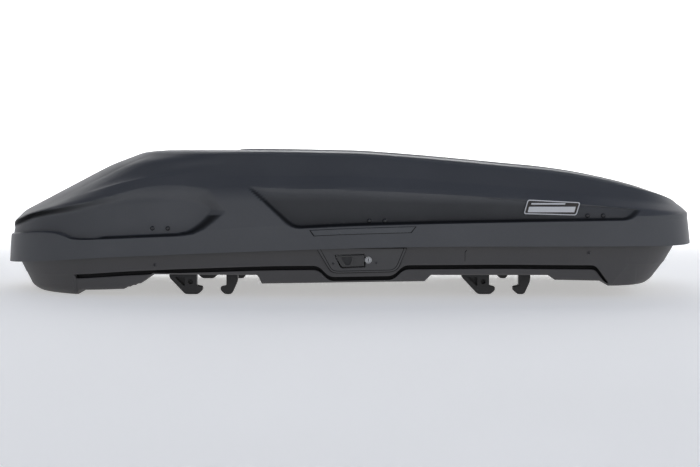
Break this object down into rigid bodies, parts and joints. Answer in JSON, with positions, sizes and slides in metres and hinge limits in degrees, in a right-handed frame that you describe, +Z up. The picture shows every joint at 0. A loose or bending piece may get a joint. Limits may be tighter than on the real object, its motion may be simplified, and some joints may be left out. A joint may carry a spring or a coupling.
{
  "type": "roof cargo box",
  "caption": "Hard-shell roof cargo box with a side-opening hinged lid, central lever latch, gas struts and crossbar clamps.",
  "frame": {"origin": "under the middle of the closed box, hinges included, at the height of the clamp bottoms", "axes": "+X towards the tail, +Y towards the hinge side, +Z up; the latch side faces -Y"},
  "size_m": [2.09, 0.8586, 0.4295],
  "materials": {
    "lid_plastic": "fine grained moulded ABS",
    "base_plastic": "fine grained moulded ABS",
    "trim_plastic": "fine textured injection moulded plastic",
    "badge": "satin silver print under clear plastic",
    "chrome": "polished",
    "steel": "zinc plated, satin",
    "strut_black": "semi-gloss black paint",
    "aluminium": "mill finish"
  },
  "bodies": {
    "base": {"base_shell": "base_plastic", "floor_rail_near": "aluminium", "floor_rail_far": "aluminium", "latch_bezel": "trim_plastic", "lock_ring": "chrome", "bezel_screw_front": "steel", "bezel_screw_rear": "steel", "side_screw_front": "steel", "side_screw_rear": "steel", "hook_housing_front": "trim_plastic", "hook_housing_middle": "trim_plastic", "hook_housing_rear": "trim_plastic", "hinge_base_leaf_front": "steel", "hinge_base_leaf_middle": "steel", "hinge_base_leaf_rear": "steel", "hinge_pin_front": "steel", "hinge_pin_middle": "steel", "hinge_pin_rear": "steel", "strut_base_bracket_front": "steel", "strut_base_bracket_rear": "steel", "clamp_plate_front_near": "trim_plastic", "clamp_plate_front_far": "trim_plastic", "clamp_plate_rear_near": "trim_plastic", "clamp_plate_rear_far": "trim_plastic"},
    "lid": {"lid_shell": "lid_plastic", "grip_trim": "trim_plastic", "badge_plate": "badge", "striker_front": "steel", "striker_middle": "steel", "striker_rear": "steel", "rivet_front_a": "trim_plastic", "rivet_front_b": "trim_plastic", "rivet_middle_a": "trim_plastic", "rivet_middle_b": "trim_plastic", "rivet_rear_a": "trim_plastic", "rivet_rear_b": "trim_plastic", "hinge_lid_leaf_front": "steel", "hinge_lid_leaf_middle": "steel", "hinge_lid_leaf_rear": "steel", "strut_lid_bracket_front": "steel", "strut_lid_bracket_rear": "steel"},
    "paddle": {"paddle_handle": "trim_plastic"},
    "lock": {"lock_cylinder": "chrome"},
    "rod": {"lock_rod": "steel"},
    "hook_front": {"latch_hook_front": "steel"},
    "hook_middle": {"latch_hook_middle": "steel"},
    "hook_rear": {"latch_hook_rear": "steel"},
    "front_strut_tube": {"strut_tube_front": "strut_black"},
    "front_strut_rod": {"strut_rod_front": "chrome"},
    "rear_strut_tube": {"strut_tube_rear": "strut_black"},
    "rear_strut_rod": {"strut_rod_rear": "chrome"},
    "knob_front_near": {"clamp_knob_front_near": "trim_plastic"},
    "jaw_front_near": {"clamp_jaw_front_near": "trim_plastic"},
    "knob_front_far": {"clamp_knob_front_far": "trim_plastic"},
    "jaw_front_far": {"clamp_jaw_front_far": "trim_plastic"},
    "knob_rear_near": {"clamp_knob_rear_near": "trim_plastic"},
    "jaw_rear_near": {"clamp_jaw_rear_near": "trim_plastic"},
    "knob_rear_far": {"clamp_knob_rear_far": "trim_plastic"},
    "jaw_rear_far": {"clamp_jaw_rear_far": "trim_plastic"}
  },
  "joints": [
    {"name": "lid_open", "type": "hinge", "parent": "base", "child": "lid", "pos_m": [0.013, 0.42225, 0.142], "axis": [-1, 0, 0], "range_deg": [0, 45]},
    {"name": "front_strut_turn", "type": "hinge", "parent": "base", "child": "front_strut_tube", "pos_m": [-0.427, 0.12517, 0.10025], "axis": [-1, 0, 0], "range_deg": [0, 23]},
    {"name": "front_strut_slide", "type": "slide", "parent": "front_strut_tube", "child": "front_strut_rod", "axis": [0, 0.2924, 0.9563], "range_m": [0, 0.194]},
    {"name": "rear_strut_turn", "type": "hinge", "parent": "base", "child": "rear_strut_tube", "pos_m": [0.548, 0.12517, 0.10025], "axis": [-1, 0, 0], "range_deg": [0, 23]},
    {"name": "rear_strut_slide", "type": "slide", "parent": "rear_strut_tube", "child": "rear_strut_rod", "axis": [0, 0.2924, 0.9563], "range_m": [0, 0.194]},
    {"name": "paddle_turn", "type": "hinge", "parent": "base", "child": "paddle", "pos_m": [0.046, -0.40675, 0.108], "axis": [0, 0, 1], "range_deg": [0, 33], "stiffness_Nm_per_rad": 0.5},
    {"name": "rod_slide", "type": "slide", "parent": "base", "child": "rod", "axis": [-1, 0, 0], "range_m": [0, 0.0122]},
    {"name": "hook_turn_front", "type": "hinge", "parent": "base", "child": "hook_front", "pos_m": [-0.538, -0.35425, 0.098], "axis": [0, -1, 0], "range_deg": [0, 37]},
    {"name": "hook_turn_middle", "type": "hinge", "parent": "base", "child": "hook_middle", "pos_m": [0.091, -0.35425, 0.098], "axis": [0, -1, 0], "range_deg": [0, 37]},
    {"name": "hook_turn_rear", "type": "hinge", "parent": "base", "child": "hook_rear", "pos_m": [0.72, -0.35425, 0.098], "axis": [0, -1, 0], "range_deg": [0, 37]},
    {"name": "lock_turn", "type": "hinge", "parent": "base", "child": "lock", "pos_m": [0.066, -0.39775, 0.112], "axis": [0, 1, 0], "range_deg": [0, 90]},
    {"name": "knob_turn_front_near", "type": "hinge", "parent": "base", "child": "knob_front_near", "pos_m": [-0.398, -0.26775, 0.09], "axis": [0, 0, 1], "range_deg": [0, 1801]},
    {"name": "jaw_slide_front_near", "type": "slide", "parent": "base", "child": "jaw_front_near", "axis": [-1, 0, 0], "range_m": [0, 0.02]},
    {"name": "knob_turn_front_far", "type": "hinge", "parent": "base", "child": "knob_front_far", "pos_m": [-0.398, 0.25225, 0.09], "axis": [0, 0, 1], "range_deg": [0, 1801]},
    {"name": "jaw_slide_front_far", "type": "slide", "parent": "base", "child": "jaw_front_far", "axis": [-1, 0, 0], "range_m": [0, 0.02]},
    {"name": "knob_turn_rear_near", "type": "hinge", "parent": "base", "child": "knob_rear_near", "pos_m": [0.47, -0.26775, 0.09], "axis": [0, 0, 1], "range_deg": [0, 1801]},
    {"name": "jaw_slide_rear_near", "type": "slide", "parent": "base", "child": "jaw_rear_near", "axis": [-1, 0, 0], "range_m": [0, 0.02]},
    {"name": "knob_turn_rear_far", "type": "hinge", "parent": "base", "child": "knob_rear_far", "pos_m": [0.47, 0.25225, 0.09], "axis": [0, 0, 1], "range_deg": [0, 1801]},
    {"name": "jaw_slide_rear_far", "type": "slide", "parent": "base", "child": "jaw_rear_far", "axis": [-1, 0, 0], "range_m": [0, 0.02]}
  ],
  "couplings": [
    {"joint": "front_strut_turn", "follows": "lid_open", "ratio": 0.5},
    {"joint": "front_strut_slide", "follows": "lid_open", "m_per_rad": 0.2461},
    {"joint": "rear_strut_turn", "follows": "lid_open", "ratio": 0.5},
    {"joint": "rear_strut_slide", "follows": "lid_open", "m_per_rad": 0.2461},
    {"joint": "rod_slide", "follows": "paddle_turn", "m_per_rad": 0.020835},
    {"joint": "hook_turn_front", "follows": "paddle_turn", "ratio": 1.1173},
    {"joint": "hook_turn_middle", "follows": "paddle_turn", "ratio": 1.1173},
    {"joint": "hook_turn_rear", "follows": "paddle_turn", "ratio": 1.1173},
    {"joint": "knob_turn_front_near", "follows": "jaw_slide_front_near", "rad_per_m": 1570.8},
    {"joint": "knob_turn_front_far", "follows": "jaw_slide_front_far", "rad_per_m": 1570.8},
    {"joint": "knob_turn_rear_near", "follows": "jaw_slide_rear_near", "rad_per_m": 1570.8},
    {"joint": "knob_turn_rear_far", "follows": "jaw_slide_rear_far", "rad_per_m": 1570.8}
  ]
}
